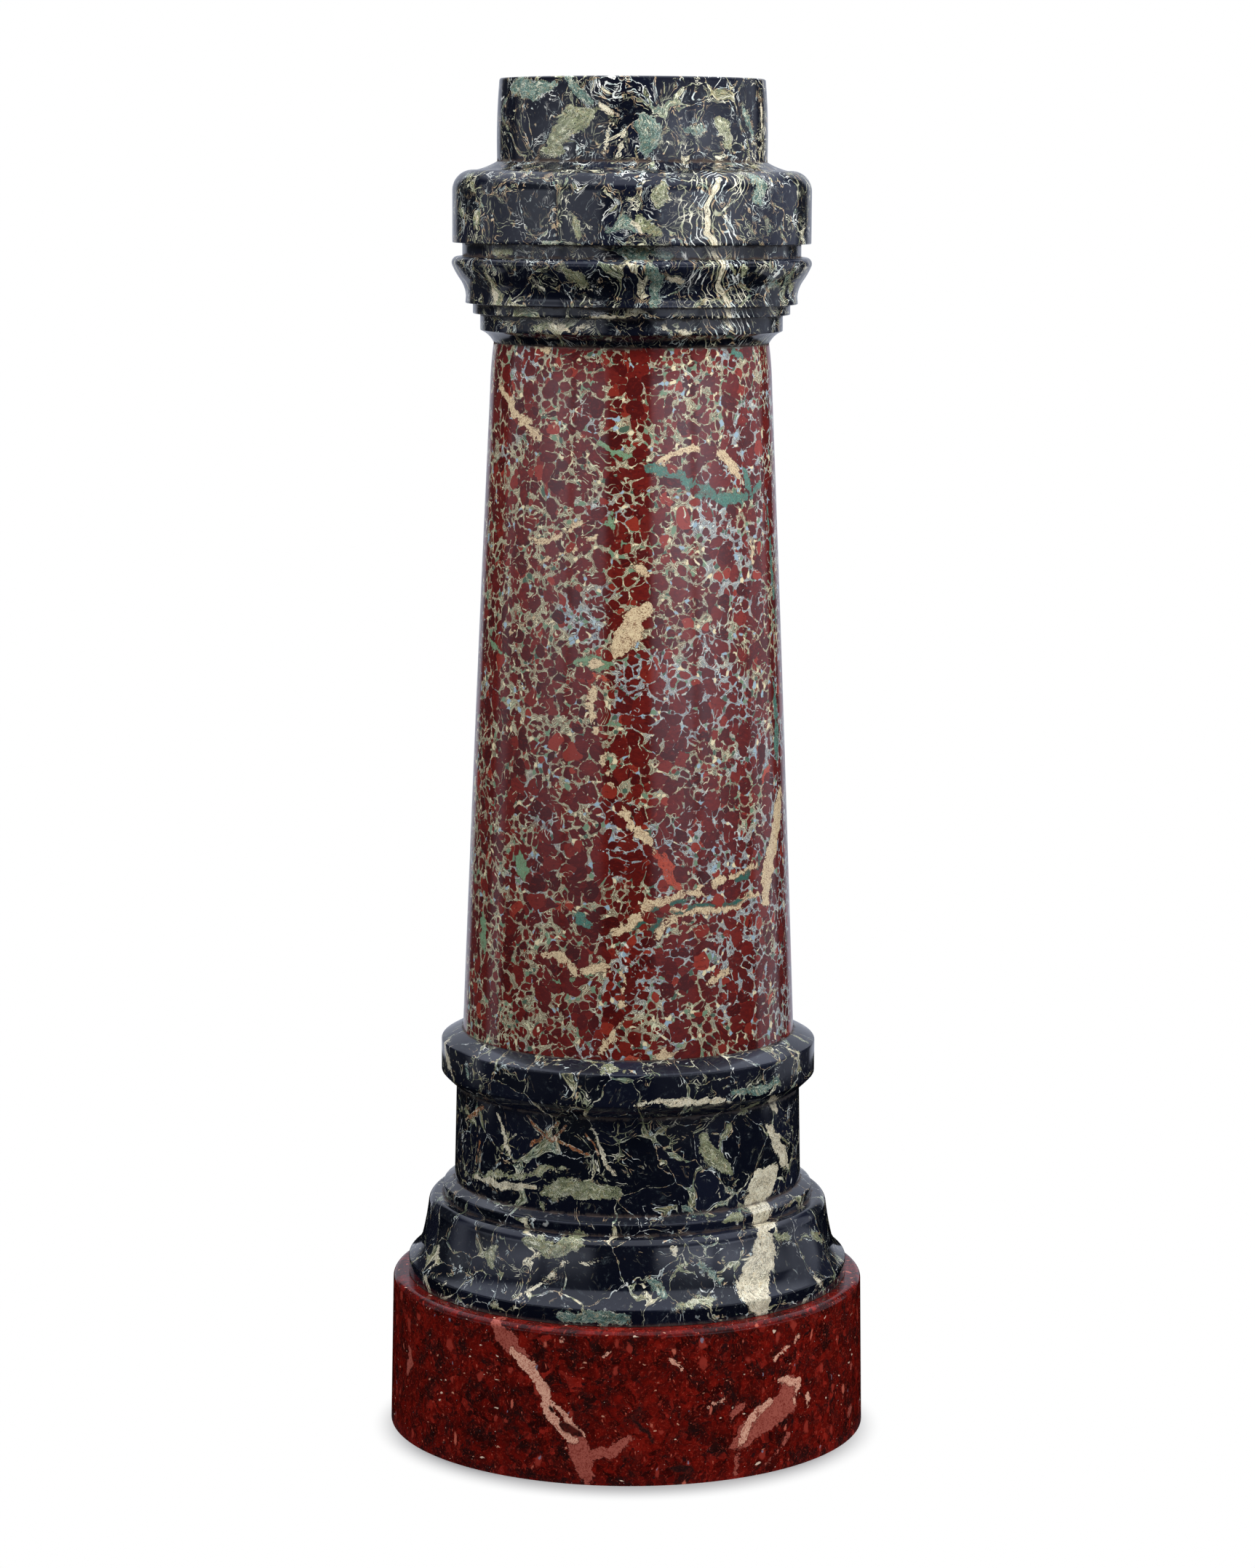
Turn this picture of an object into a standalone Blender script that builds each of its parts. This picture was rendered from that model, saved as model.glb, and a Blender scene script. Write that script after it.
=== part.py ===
# Scagliola pedestal column: four turned and polished pieces standing on one another.
#
# Axes: +Z is up along the turning axis. The origin is the centre of the plinth's underside.
# The seen side faces -Y.
# Every piece is described by its half outline, which a small pen draws upwards from the foot,
# moulding by moulding, and which is then spun round the axis.

import math

import bmesh
import bpy

MM = 0.001

# Pieces that stand on one another keep this joint between them
JOINT = 0.3 * MM

# Sides of the turned solids, and straight pieces in a moulded curve
SIDES = 64
CURVE_STEPS = 4

# Plinth: a plain drum with a softened upper edge and a slight spread towards the floor
PLINTH_HEIGHT = 136.4 * MM
PLINTH_LEDGE = 8.2 * MM
PLINTH_EDGE_ROUND = 5.8 * MM
PLINTH_SPREAD = 2.4 * MM

# Base, foot mouldings: upright fillet, flare, bell-shaped side and rounded shoulder
FOOT_FILLET_HEIGHT = 14.5 * MM
FLARE_WIDTH = 11.7 * MM
FLARE_HEIGHT = 14.9 * MM
FLARE_HOLLOW = 1.2 * MM
BELL_WIDTH = 6.6 * MM
BELL_HEIGHT = 35.2 * MM
BELL_HOLLOW = 0.6 * MM
SHOULDER_WIDTH = 5.4 * MM
SHOULDER_HEIGHT = 7.0 * MM
SHOULDER_SWELL = 1.0 * MM
SHOULDER_LEDGE = 7.9 * MM

# Base, small step under the dado, with a weathered upper face
STEP_HEIGHT = 10.0 * MM
STEP_WIDTH = 10.0 * MM
STEP_FALL = 5.0 * MM

# Base, dado: the plain drum between the step and the ring
DADO_HEIGHT = 86.6 * MM
DADO_NARROWING = 1.8 * MM

# Base, ring: the broad band that the shaft stands on, bevelled below and weathered above
RING_BEVEL_HEIGHT = 12.4 * MM
RING_BEVEL_WIDTH = 13.4 * MM
RING_BEVEL_SWELL = 0.4 * MM
RING_HEIGHT = 28.6 * MM
RING_WIDTH = 19.2 * MM
RING_FALL = 9.0 * MM
RING_CROWN = 0.5 * MM

# Shaft: tapered, with a slight swelling and a quicker narrowing close under the capital
SHAFT_FOOT_RADIUS = 148.4 * MM
SHAFT_HEAD_RADIUS = 120.9 * MM
SHAFT_HEIGHT = 611.5 * MM
SHAFT_SWELL = 0.6 * MM
SHAFT_HEAD_NARROWING = 3.2 * MM
SHAFT_HEAD_HEIGHT = 42.0 * MM

# Capital, lower mouldings: hollow and two fillets
HOLLOW_WIDTH = 11.8 * MM
HOLLOW_HEIGHT = 10.8 * MM
HOLLOW_DEPTH = 1.5 * MM
LOWER_FILLET_HEIGHT = 14.3 * MM
UPPER_FILLET_WIDTH = 6.4 * MM
UPPER_FILLET_HEIGHT = 9.1 * MM

# Capital, wave moulding: foot, hollow waist, swelling and rolled lip
WAVE_FOOT_WIDTH = 6.6 * MM
WAVE_FOOT_HEIGHT = 6.1 * MM
WAVE_FOOT_SETBACK = 0.5 * MM
WAVE_WAIST_WIDTH = 4.8 * MM
WAVE_WAIST_HEIGHT = 14.0 * MM
WAVE_WAIST_HOLLOW = 1.0 * MM
WAVE_SWELL_WIDTH = 7.0 * MM
WAVE_SWELL_HEIGHT = 12.3 * MM
WAVE_SWELL_BULGE = 0.4 * MM
WAVE_LIP_WIDTH = 4.7 * MM
WAVE_LIP_HEIGHT = 8.2 * MM
WAVE_LIP_BULGE = 2.6 * MM

# Capital, recess, broad band and the shoulder that slopes up to the neck
RECESS_DEPTH = 4.0 * MM
RECESS_HEIGHT = 11.7 * MM
BAND_WIDTH = 8.7 * MM
BAND_HEIGHT = 46.0 * MM
CROWN_WIDTH = 20.4 * MM
CROWN_HEIGHT = 16.8 * MM
CROWN_SWELL = 5.8 * MM
SLOPE_WIDTH = 18.7 * MM
SLOPE_HEIGHT = 7.5 * MM
SLOPE_HOLLOW = 0.8 * MM

# Capital, neck: the upright drum at the top, slightly barrelled, with a broken upper edge
NECK_HEIGHT = 70.2 * MM
NECK_NARROWING = 2.0 * MM
NECK_SWELL = 1.0 * MM
RIM_EDGE = 1.0 * MM


class Outline:
    """A half outline drawn from a starting radius and height, one stroke after another."""

    def __init__(self, radius, height):
        self.points = [(radius, height)]

    @property
    def radius(self):
        return self.points[-1][0]

    @property
    def height(self):
        return self.points[-1][1]

    def line(self, outwards, upwards):
        self.points.append((self.radius + outwards, self.height + upwards))

    def curve(self, outwards, upwards, swell, steps=CURVE_STEPS):
        """A circular arc over the stroke, whose middle stands out from it by swell (in if negative)."""
        length = math.hypot(outwards, upwards)
        bend = 2.0 * math.atan(2.0 * abs(swell) / length)
        arc_radius = length / (2.0 * math.sin(bend))
        start_radius, start_height = self.points[-1]
        for step in range(1, steps + 1):
            turn = bend * (2.0 * step / steps - 1.0)
            along = 0.5 + math.sin(turn) / (2.0 * math.sin(bend))
            aside = math.copysign(arc_radius * (math.cos(turn) - math.cos(bend)), swell)
            self.points.append((
                start_radius + outwards * along + upwards / length * aside,
                start_height + upwards * along - outwards / length * aside,
            ))


def base_foot_radius():
    """Radius of the base's lowest fillet, found by going outwards from the shaft's foot."""
    ring = SHAFT_FOOT_RADIUS + RING_WIDTH
    dado_foot = ring - RING_BEVEL_WIDTH + DADO_NARROWING
    shoulder = dado_foot + STEP_WIDTH + SHOULDER_LEDGE + SHOULDER_WIDTH
    return shoulder + BELL_WIDTH + FLARE_WIDTH


def plinth_outline():
    top_radius = base_foot_radius() + PLINTH_LEDGE
    foot_radius = top_radius + PLINTH_EDGE_ROUND + PLINTH_SPREAD
    round_swell = PLINTH_EDGE_ROUND * (1.0 - math.sqrt(0.5))
    pen = Outline(foot_radius, 0.0)
    pen.line(-PLINTH_SPREAD, PLINTH_HEIGHT - PLINTH_EDGE_ROUND)
    pen.curve(-PLINTH_EDGE_ROUND, PLINTH_EDGE_ROUND, round_swell)
    return pen


def base_outline(seat):
    pen = Outline(base_foot_radius(), seat + JOINT)
    pen.line(0.0, FOOT_FILLET_HEIGHT)
    pen.curve(-FLARE_WIDTH, FLARE_HEIGHT, -FLARE_HOLLOW)
    pen.curve(-BELL_WIDTH, BELL_HEIGHT, -BELL_HOLLOW, 3)
    pen.curve(-SHOULDER_WIDTH, SHOULDER_HEIGHT, SHOULDER_SWELL)
    pen.line(-SHOULDER_LEDGE, 0.0)
    pen.line(0.0, STEP_HEIGHT)
    pen.line(-STEP_WIDTH, STEP_FALL)
    pen.line(-DADO_NARROWING, DADO_HEIGHT)
    pen.curve(RING_BEVEL_WIDTH, RING_BEVEL_HEIGHT, RING_BEVEL_SWELL, 2)
    pen.line(0.0, RING_HEIGHT)
    pen.curve(-RING_WIDTH, RING_FALL, RING_CROWN, 2)
    return pen


def shaft_outline(seat):
    head_foot_radius = SHAFT_HEAD_RADIUS + SHAFT_HEAD_NARROWING
    pen = Outline(SHAFT_FOOT_RADIUS, seat + JOINT)
    pen.curve(head_foot_radius - SHAFT_FOOT_RADIUS, SHAFT_HEIGHT - SHAFT_HEAD_HEIGHT, SHAFT_SWELL, 6)
    pen.curve(-SHAFT_HEAD_NARROWING, SHAFT_HEAD_HEIGHT, SHAFT_SWELL, 3)
    return pen


def capital_outline(seat):
    pen = Outline(SHAFT_HEAD_RADIUS, seat + JOINT)
    pen.curve(HOLLOW_WIDTH, HOLLOW_HEIGHT, -HOLLOW_DEPTH)
    pen.line(0.0, LOWER_FILLET_HEIGHT)
    pen.line(UPPER_FILLET_WIDTH, 0.0)
    pen.line(0.0, UPPER_FILLET_HEIGHT)
    pen.line(WAVE_FOOT_WIDTH, 0.0)
    pen.line(-WAVE_FOOT_SETBACK, WAVE_FOOT_HEIGHT)
    pen.curve(WAVE_WAIST_WIDTH, WAVE_WAIST_HEIGHT, -WAVE_WAIST_HOLLOW, 3)
    pen.curve(WAVE_SWELL_WIDTH, WAVE_SWELL_HEIGHT, WAVE_SWELL_BULGE, 3)
    pen.curve(-WAVE_LIP_WIDTH, WAVE_LIP_HEIGHT, WAVE_LIP_BULGE)
    pen.line(-RECESS_DEPTH, 0.0)
    pen.line(0.0, RECESS_HEIGHT)
    pen.line(BAND_WIDTH, 0.0)
    pen.line(0.0, BAND_HEIGHT)
    pen.curve(-CROWN_WIDTH, CROWN_HEIGHT, CROWN_SWELL, 5)
    pen.curve(-SLOPE_WIDTH, SLOPE_HEIGHT, -SLOPE_HOLLOW, 3)
    pen.curve(-NECK_NARROWING, NECK_HEIGHT, NECK_SWELL, 3)
    pen.line(-RIM_EDGE, RIM_EDGE)
    return pen


def clear_scene():
    for old_object in list(bpy.data.objects):
        bpy.data.objects.remove(old_object, do_unlink=True)


def polished_material(name, colour, roughness):
    material = bpy.data.materials.new(name)
    material.use_nodes = True
    shader = material.node_tree.nodes["Principled BSDF"]
    shader.inputs["Base Color"].default_value = (*colour, 1.0)
    shader.inputs["Roughness"].default_value = roughness
    shader.inputs["Metallic"].default_value = 0.0
    return material


def turned_piece(name, pen, material):
    """Spin an outline once round the axis, close it above and below, and make it an object."""
    shape = bmesh.new()
    corners = [shape.verts.new((radius, 0.0, height)) for radius, height in pen.points]
    edges = [shape.edges.new(pair) for pair in zip(corners, corners[1:])]
    bmesh.ops.spin(
        shape,
        geom=corners + edges,
        axis=(0.0, 0.0, 1.0),
        cent=(0.0, 0.0, 0.0),
        angle=math.tau,
        steps=SIDES,
        use_merge=True,
    )
    bmesh.ops.holes_fill(shape, edges=[edge for edge in shape.edges if edge.is_boundary], sides=SIDES)
    bmesh.ops.recalc_face_normals(shape, faces=shape.faces)
    mesh = bpy.data.meshes.new(name)
    shape.to_mesh(mesh)
    shape.free()
    mesh.materials.append(material)
    mesh.shade_smooth()
    mesh.set_sharp_from_angle(angle=math.radians(25.0))
    piece = bpy.data.objects.new(name, mesh)
    bpy.context.scene.collection.objects.link(piece)
    return piece


def build_column():
    clear_scene()
    deep_red = polished_material("deep_red_scagliola", (0.17, 0.022, 0.016), 0.16)
    black_green = polished_material("black_green_scagliola", (0.028, 0.032, 0.036), 0.12)
    red_breccia = polished_material("red_breccia_scagliola", (0.2, 0.042, 0.032), 0.14)

    plinth = plinth_outline()
    base = base_outline(plinth.height)
    shaft = shaft_outline(base.height)
    capital = capital_outline(shaft.height)

    turned_piece("plinth", plinth, deep_red)
    turned_piece("base", base, black_green)
    turned_piece("shaft", shaft, red_breccia)
    turned_piece("capital", capital, black_green)


build_column()
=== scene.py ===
"""A scagliola pedestal column: four turned and polished pieces in three imitation marbles."""

import math

import bmesh
import bpy
import numpy as np
from mathutils import Euler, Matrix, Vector, noise


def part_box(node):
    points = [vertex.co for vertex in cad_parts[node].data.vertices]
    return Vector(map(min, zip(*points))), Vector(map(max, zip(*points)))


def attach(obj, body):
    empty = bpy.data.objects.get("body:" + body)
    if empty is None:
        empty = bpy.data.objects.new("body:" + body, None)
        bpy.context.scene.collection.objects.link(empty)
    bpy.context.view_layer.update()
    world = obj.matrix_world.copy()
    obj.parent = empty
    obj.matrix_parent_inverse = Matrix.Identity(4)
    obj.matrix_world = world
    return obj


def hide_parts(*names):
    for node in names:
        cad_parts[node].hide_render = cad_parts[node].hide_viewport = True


bl_info = {
    "name": "Scagliola Column",
    "version": (1, 0, 0),
    "blender": (4, 5, 0),
    "location": "View3D > Sidebar > Column",
    "description": "Builds a turned scagliola pedestal column with its stones and its studio",
    "category": "Object",
}

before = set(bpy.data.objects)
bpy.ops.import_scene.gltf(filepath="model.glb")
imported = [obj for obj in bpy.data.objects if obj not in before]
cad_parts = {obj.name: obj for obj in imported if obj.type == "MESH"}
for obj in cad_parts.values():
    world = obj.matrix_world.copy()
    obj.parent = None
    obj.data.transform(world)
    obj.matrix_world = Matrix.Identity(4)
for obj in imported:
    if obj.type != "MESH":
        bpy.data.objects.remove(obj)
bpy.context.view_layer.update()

MM = 0.001
CM_PER_M = 100.0

# The front half, which carries the laid veins, is turned in finer steps than the back
FRONT_STEPS = 240
BACK_STEPS = 96
SECTORS = 12

# Beyond this distance in mm, a laid vein has no effect
FAR_FROM_VEINS = 40.0

# Foot of each piece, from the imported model
FLOOR = 0.0
BASE_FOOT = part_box("base")[0].z
SHAFT_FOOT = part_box("shaft")[0].z
CAPITAL_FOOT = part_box("capital")[0].z

# Points closer than this are one point, and edges bent more than this angle in degrees stay sharp
MERGE_DISTANCE = 0.02 * MM
SHARP_ANGLE = 50.0

# Waves that push the laid veins about, as size and reach. The seed keeps them the same in every run.
KNEADING_SEED = 7
KNEADING_WAVES = ((24.0 * MM, 5.0 * MM), (8.0 * MM, 2.4 * MM))


def setting(name, description, default, least, most, **more):
    return bpy.props.FloatProperty(
        name=name, description=description, default=default, min=least, max=most, **more
    )


class ColumnSizes(bpy.types.PropertyGroup):
    """Sizes that a user would change without changing the column's outline."""

    arris: setting("Arris", "Rounding of the turned edges", 0.7 * MM, 0.1 * MM, 2.0 * MM, unit="LENGTH")
    mesh_pitch: setting(
        "Mesh pitch", "Longest step of the mesh along an outline",
        2.2 * MM, 1.0 * MM, 20.0 * MM, unit="LENGTH",
    )
    # The crevice width sets how far the brown of grime and painted shade spreads from an inner corner
    crevice_width: setting(
        "Crevice width", "How far dirt spreads from an inner corner",
        3.0 * MM, 0.5 * MM, 10.0 * MM, unit="LENGTH",
    )


class StoneFinish(bpy.types.PropertyGroup):
    """Scale and polish of the imitation stones."""

    polish: setting("Polish roughness", "Roughness of the waxed surface", 0.07, 0.02, 0.5, subtype="FACTOR")
    shaft_fragment: setting(
        "Breccia fragment", "Width of the shaft's larger fragments, in centimetres", 1.6, 0.5, 8.0
    )
    marble_fragment: setting(
        "Black marble fragment", "Width of the black marble's larger fragments, in centimetres",
        4.4, 0.5, 12.0,
    )
    plinth_fragment: setting(
        "Red marble fragment", "Width of the plinth's fragments, in centimetres", 1.3, 0.3, 8.0
    )
    haze: setting(
        "Studio brightness", "Brightness of the soft boxes that the polish mirrors", 1.9, 0.0, 10.0
    )


class Outline:
    """A half outline drawn from a radius and height in metres, with strokes in millimetres."""

    def __init__(self, radius, height):
        self.points = [(radius, height)]
        self.soft = []
        self.crevices = []

    @property
    def radius(self):
        return self.points[-1][0]

    @property
    def height(self):
        return self.points[-1][1]

    def soften(self, times=1.0):
        """Rounds the corner at the pen by so many arrises."""
        self.soft.append((len(self.points) - 1, times))

    def crevice(self):
        """Marks the corner at the pen as one that holds grime and painted shade."""
        self.crevices.append(self.points[-1])

    def line(self, outwards, upwards):
        self.points.append((self.radius + outwards * MM, self.height + upwards * MM))

    def curve(self, outwards, upwards, swell, steps=10):
        """A circular arc over the stroke, whose middle stands out from it by swell (in if negative)."""
        outwards, upwards, swell = outwards * MM, upwards * MM, swell * MM
        length = math.hypot(outwards, upwards)
        bend = 2.0 * math.atan(2.0 * abs(swell) / length)
        arc_radius = length / (2.0 * math.sin(bend))
        start_radius, start_height = self.points[-1]
        for step in range(1, steps + 1):
            turn = bend * (2.0 * step / steps - 1.0)
            along = 0.5 + math.sin(turn) / (2.0 * math.sin(bend))
            aside = math.copysign(arc_radius * (math.cos(turn) - math.cos(bend)), swell)
            self.points.append((
                start_radius + outwards * along + upwards / length * aside,
                start_height + upwards * along - outwards / length * aside,
            ))


def plinth_outline():
    pen = Outline(214.0 * MM, FLOOR)
    pen.soften(1.5)
    pen.line(-2.4, 130.6)
    pen.curve(-5.8, 5.8, 1.7)
    pen.line(-12.0, 0.0)
    return pen


def base_outline():
    pen = Outline(197.6 * MM, BASE_FOOT)
    pen.crevice()
    pen.line(0.0, 14.5)
    pen.soften(1.6)
    pen.curve(-11.7, 14.9, -1.2)
    pen.curve(-6.6, 35.2, -0.6)
    pen.curve(-5.4, 7.0, 1.0)
    pen.line(-7.9, 0.0)
    pen.crevice()
    pen.line(0.0, 10.0)
    pen.soften(1.5)
    pen.line(-10.0, 5.0)
    pen.crevice()
    pen.line(-1.8, 86.6)
    pen.crevice()
    pen.curve(13.4, 12.4, 0.4, 6)
    pen.soften()
    pen.line(0.0, 28.6)
    pen.soften(1.5)
    pen.curve(-19.2, 9.0, 0.5, 8)
    pen.crevice()
    return pen


def shaft_outline():
    pen = Outline(148.4 * MM, SHAFT_FOOT)
    pen.soften(0.6)
    pen.curve(-24.3, 569.5, 0.6, 24)
    pen.curve(-3.2, 42.0, 0.6, 8)
    pen.crevice()
    return pen


def capital_outline():
    pen = Outline(120.9 * MM, CAPITAL_FOOT)
    pen.crevice()
    pen.curve(11.8, 10.8, -1.5)
    pen.soften(0.8)
    pen.line(0.0, 14.3)
    pen.crevice()
    pen.line(6.4, 0.0)
    pen.soften()
    pen.line(0.0, 9.1)
    pen.crevice()
    pen.line(6.6, 0.0)
    pen.soften()
    pen.line(-0.5, 6.1)
    pen.curve(4.8, 14.0, -1.0, 8)
    pen.curve(7.0, 12.3, 0.4, 6)
    pen.curve(-4.7, 8.2, 2.6)
    pen.line(-4.0, 0.0)
    pen.crevice()
    pen.line(0.0, 11.7)
    pen.crevice()
    pen.line(8.7, 0.0)
    pen.soften(1.2)
    pen.line(0.0, 46.0)
    pen.curve(-20.4, 16.8, 5.8, 14)
    pen.curve(-18.7, 7.5, -0.8, 8)
    pen.crevice()
    pen.curve(-2.0, 70.2, 1.0, 8)
    pen.soften(0.8)
    pen.line(-1.0, 1.0)
    return pen


def turned_half(pen, side, steps, arris, pitch):
    """Half a turn of an outline that starts on the given side, as a bmesh.

    One sector is spun in small steps, and the others are copies of it.
    """
    shape = bmesh.new()
    corners = [shape.verts.new((side * radius, 0.0, height)) for radius, height in pen.points]
    for pair in zip(corners, corners[1:]):
        shape.edges.new(pair)
    for index, times in pen.soft:
        if 0 < index < len(corners) - 1:
            bmesh.ops.bevel(
                shape,
                geom=[corners[index]],
                offset=arris * times,
                offset_type="OFFSET",
                segments=4,
                profile=0.5,
                affect="VERTICES",
                material=-1,
                clamp_overlap=True,
            )
    for edge in list(shape.edges):
        cuts = math.ceil(edge.calc_length() / pitch) - 1
        if cuts > 0:
            bmesh.ops.subdivide_edges(shape, edges=[edge], cuts=cuts)
    sector = math.pi / SECTORS
    bmesh.ops.spin(
        shape,
        geom=shape.verts[:] + shape.edges[:],
        axis=(0.0, 0.0, 1.0),
        cent=(0.0, 0.0, 0.0),
        angle=-sector,
        steps=steps // SECTORS,
    )
    bmesh.ops.spin(
        shape,
        geom=shape.verts[:] + shape.edges[:] + shape.faces[:],
        axis=(0.0, 0.0, 1.0),
        cent=(0.0, 0.0, 0.0),
        angle=sector - math.pi,
        steps=SECTORS - 1,
        use_duplicate=True,
    )
    return shape


def turned_shape(pen, arris, pitch):
    """The solid of revolution of an outline, as a bmesh, with its front half in finer steps."""
    shape = turned_half(pen, 1.0, FRONT_STEPS, arris, pitch)
    back = turned_half(pen, -1.0, BACK_STEPS, arris, pitch)
    carrier = bpy.data.meshes.new("back half")
    back.to_mesh(carrier)
    back.free()
    shape.from_mesh(carrier)
    bpy.data.meshes.remove(carrier)
    bmesh.ops.remove_doubles(shape, verts=shape.verts, dist=MERGE_DISTANCE)
    rims = [edge for edge in shape.edges if edge.is_boundary]
    bmesh.ops.holes_fill(shape, edges=rims, sides=FRONT_STEPS + BACK_STEPS)
    bmesh.ops.recalc_face_normals(shape, faces=shape.faces)
    return shape


def point_attribute(mesh, name, values):
    attribute = mesh.attributes.new(name, "FLOAT", "POINT")
    attribute.data.foreach_set("value", np.asarray(values, np.float32))


def crevice_mask(points, crevices, width):
    """1 in the inner corners of the outline, falling off with the distance from them."""
    radius = np.hypot(points[:, 0], points[:, 1])
    mask = np.zeros(len(points))
    for corner_radius, corner_height in crevices:
        distance = np.hypot(radius - corner_radius, points[:, 2] - corner_height)
        mask = np.maximum(mask, np.exp(-distance / width))
    return mask


def kneaded(points):
    """The points pushed about by a coarse and a fine wave, so that straight courses turn wavy."""
    noise.seed_set(KNEADING_SEED)
    moved = points.copy()
    for size, reach in KNEADING_WAVES:
        moved += reach * np.array([noise.noise_vector(Vector(point) / size) for point in points])
    return moved


def vein_distance(points, veins):
    """Distance in millimetres to the nearest edge of some laid veins, negative inside them.

    A vein is as wide as it says along its middle and narrows towards its ends.
    """
    radius = np.hypot(points[:, 0], points[:, 1]) / MM
    angle = np.degrees(np.arctan2(points[:, 0], -points[:, 1]))
    height = points[:, 2] / MM
    nearest = np.full(len(points), FAR_FROM_VEINS)
    for width, *course in veins.values():
        for index, ((from_angle, from_height), (to_angle, to_height)) in enumerate(zip(course, course[1:])):
            across = np.radians(angle - from_angle) * radius
            up = height - from_height
            run = np.radians(to_angle - from_angle) * radius
            rise = to_height - from_height
            share = np.clip((across * run + up * rise) / (run * run + rise * rise), 0.0, 1.0)
            along = (index + share) / (len(course) - 1)
            half_width = width * (0.3 + 0.7 * np.sqrt(np.abs(np.sin(math.pi * along))))
            gap = np.hypot(across - run * share, up - rise * share) - half_width
            nearest = np.minimum(nearest, gap)
    return nearest


def turned_piece(name, node, pen, material, veins):
    sizes = bpy.context.scene.column_sizes
    shape = turned_shape(pen, sizes.arris, sizes.mesh_pitch)
    mesh = bpy.data.meshes.new(name)
    shape.to_mesh(mesh)
    shape.free()
    points = np.zeros(len(mesh.vertices) * 3, np.float32)
    mesh.vertices.foreach_get("co", points)
    points = points.reshape(-1, 3)
    point_attribute(mesh, "crevice", crevice_mask(points, pen.crevices, sizes.crevice_width))
    bent = kneaded(points)
    for colour, courses in veins.items():
        point_attribute(mesh, colour, vein_distance(bent, courses))
    mesh.materials.append(material)
    mesh.shade_smooth()
    mesh.set_sharp_from_angle(angle=math.radians(SHARP_ANGLE))
    piece = bpy.data.objects.new(name, mesh)
    bpy.context.scene.collection.objects.link(piece)
    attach(piece, "root")
    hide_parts(node)
    return piece


class Wiring:
    """Adds nodes to a tree and links them, so that a stone reads as a recipe."""

    def __init__(self, tree):
        self.tree = tree
        self.count = 0

    def add(self, kind, **settings):
        node = self.tree.nodes.new(kind)
        for name, value in settings.items():
            setattr(node, name, value)
        node.location = (180 * (self.count // 6), -190 * (self.count % 6))
        self.count += 1
        return node

    def feed(self, socket, value):
        if isinstance(value, bpy.types.NodeSocket):
            self.tree.links.new(value, socket)
        elif value is not None:
            socket.default_value = value

    def math(self, operation, *values):
        node = self.add("ShaderNodeMath", operation=operation)
        for socket, value in zip(node.inputs, values):
            self.feed(socket, value)
        return node.outputs[0]

    def times(self, first, second):
        return self.math("MULTIPLY", first, second)

    def plus(self, first, second):
        return self.math("ADD", first, second)

    def minus(self, first, second):
        return self.math("SUBTRACT", first, second)

    def ratio(self, first, second):
        return self.math("DIVIDE", first, second)

    def vector(self, operation, first, second=None, scale=None):
        node = self.add("ShaderNodeVectorMath", operation=operation)
        self.feed(node.inputs[0], first)
        self.feed(node.inputs[1], second)
        if scale is not None:
            self.feed(node.inputs["Scale"], scale)
        return node.outputs["Value" if operation == "LENGTH" else "Vector"]

    def shifted(self, place, way):
        return self.vector("ADD", place, way)

    def noise(self, vector, scale, detail, roughness, output="Fac"):
        node = self.add("ShaderNodeTexNoise")
        values = (vector, scale, detail, roughness)
        for name, value in zip(("Vector", "Scale", "Detail", "Roughness"), values):
            self.feed(node.inputs[name], value)
        return node.outputs[output]

    def cells(self, vector, scale, feature="F1"):
        node = self.add("ShaderNodeTexVoronoi", feature=feature)
        self.feed(node.inputs["Vector"], vector)
        self.feed(node.inputs["Scale"], scale)
        return node

    def map_range(self, numbers, **settings):
        node = self.add("ShaderNodeMapRange", **settings)
        for name, number in zip(("Value", "From Min", "From Max", "To Min", "To Max"), numbers):
            self.feed(node.inputs[name], number)
        return node.outputs["Result"]

    def step(self, value, low, high, start=0.0, end=1.0):
        """A smooth step from start at low to end at high."""
        return self.map_range((value, low, high, start, end), interpolation_type="SMOOTHSTEP")

    def span(self, value, low, high, start=0.0, end=1.0):
        """A straight run from start at low to end at high, held at both ends."""
        return self.map_range((value, low, high, start, end), clamp=True)

    def blend(self, share, first, second, way="MIX"):
        node = self.add("ShaderNodeMix", data_type="RGBA", blend_type=way)
        self.feed(node.inputs[0], share)
        self.feed(node.inputs[6], first)
        self.feed(node.inputs[7], second)
        return node.outputs[2]

    def mix_number(self, share, first, second):
        node = self.add("ShaderNodeMix", data_type="FLOAT")
        self.feed(node.inputs[0], share)
        self.feed(node.inputs[2], first)
        self.feed(node.inputs[3], second)
        return node.outputs[0]

    def ramp(self, value, stops, interpolation="LINEAR"):
        """A colour ramp. A stop is a position, then a brightness or a colour as on a screen."""
        node = self.add("ShaderNodeValToRGB")
        ramp = node.color_ramp
        ramp.interpolation = interpolation
        while len(ramp.elements) < len(stops):
            ramp.elements.new(0.5)
        for element, (position, *colour) in zip(ramp.elements, stops):
            element.position = position
            element.color = shade(*colour) if len(colour) > 1 else grey(*colour)
        self.feed(node.inputs[0], value)
        return node.outputs["Color"]

    def attribute(self, name):
        return self.add("ShaderNodeAttribute", attribute_name=name).outputs["Fac"]

    def use(self, name, **values):
        """Adds the shared group of that name, fed with the values, and returns its outputs."""
        node = self.add("ShaderNodeGroup", node_tree=shared(name))
        for label, value in values.items():
            self.feed(node.inputs[label.replace("_", " ").title()], value)
        return node.outputs


def shade(red, green, blue):
    """A colour given as on a screen, from 0 to 255, turned linear."""
    linear = []
    for part in (red, green, blue):
        part = part / 255.0
        linear.append(part / 12.92 if part <= 0.04045 else ((part + 0.055) / 1.055) ** 2.4)
    return (*linear, 1.0)


def grey(level):
    """A neutral colour of a linear brightness."""
    return (level, level, level, 1.0)


WHITE = grey(1.0)


NUMBER = "NodeSocketFloat"
VECTOR = "NodeSocketVector"


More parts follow.
